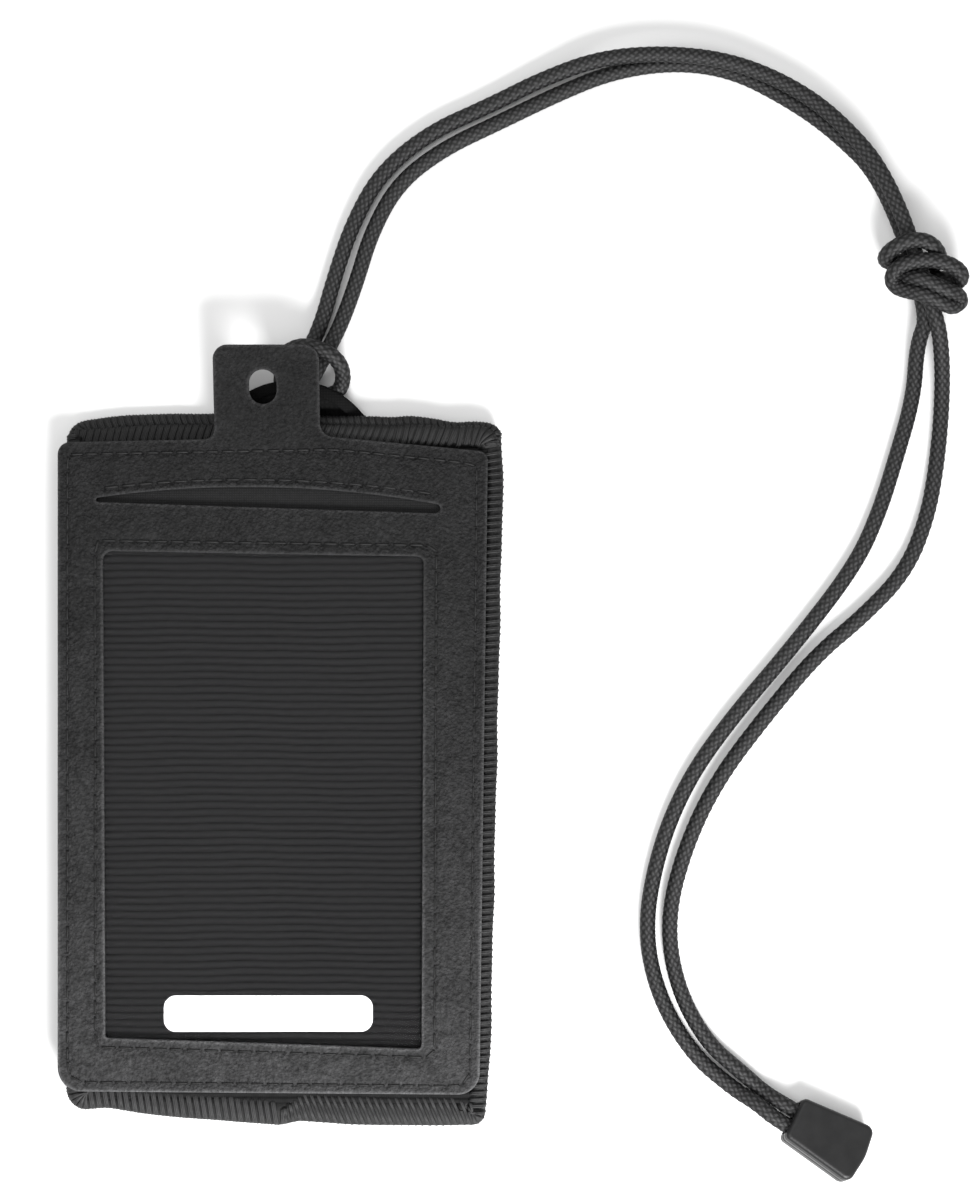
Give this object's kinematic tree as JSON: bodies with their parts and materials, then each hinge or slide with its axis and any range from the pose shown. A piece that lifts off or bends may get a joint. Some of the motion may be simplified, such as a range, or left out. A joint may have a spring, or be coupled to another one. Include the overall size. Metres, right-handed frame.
{
  "type": "neck pouch wallet",
  "caption": "Flat neck pouch with a clear card window and card slot in a leather-look panel, a serged fabric passport pocket, and a knotted cord lanyard with a snap cord end.",
  "frame": {"origin": "middle of the pouch's own footprint (panel, pouch and hanging tab, without the cord), on the surface that the pouch's back lies on", "axes": "+X to the right across the pouch, +Y along the pouch towards the hanging tab, +Z out of the card window, up from the surface"},
  "size_m": [0.2256, 0.2833, 0.0143],
  "materials": {
    "panel_leather": "fine pebble grain, matt",
    "lining_fabric": "plain weave",
    "clear_vinyl": "clear, glossy",
    "ribbed_fabric": "fine horizontal ribs",
    "pouch_fabric": "woven, matt",
    "serge_thread": "overlocked thread ridges",
    "tab_webbing": "webbing weave",
    "binding_tape": "binding tape weave",
    "seam_thread": "twisted thread",
    "white_print": "plain white print",
    "braided_cord": "braided sheath",
    "moulded_plastic": "satin moulded",
    "fused_cord": "melted cord end"
  },
  "bodies": {
    "pouch": {"front_frame": "panel_leather", "frame_lining": "lining_fabric", "window_pane": "clear_vinyl", "ribbed_front_panel": "ribbed_fabric", "pouch_back_panel": "pouch_fabric", "serge_left": "serge_thread", "serge_right": "serge_thread", "serge_bottom": "serge_thread", "serge_mouth_front": "serge_thread", "serge_mouth_back": "serge_thread", "hang_tab": "tab_webbing", "hang_tab_binding": "binding_tape", "hang_tab_stitches": "seam_thread", "frame_stitching": "seam_thread", "window_stitching": "seam_thread", "slot_stitching": "seam_thread", "printed_label": "white_print", "lanyard_strand_a": "braided_cord", "lanyard_strand_b": "braided_cord", "cord_end_base": "moulded_plastic", "cord_tip_a": "fused_cord", "cord_tip_b": "fused_cord"},
    "knot": {"adjuster_knot": "braided_cord"},
    "end_cover": {"cord_end_cover": "moulded_plastic"}
  },
  "joints": [
    {"name": "knot_slide", "type": "slide", "parent": "pouch", "child": "knot", "axis": [-0.3107, 0.9505, 0], "range_m": [0, 0.01]},
    {"name": "cover_hinge", "type": "hinge", "parent": "pouch", "child": "end_cover", "pos_m": [0.14521, -0.10539, 0.00569], "axis": [0.4627, 0.8179, -0.342], "range_deg": [0, 170]}
  ]
}
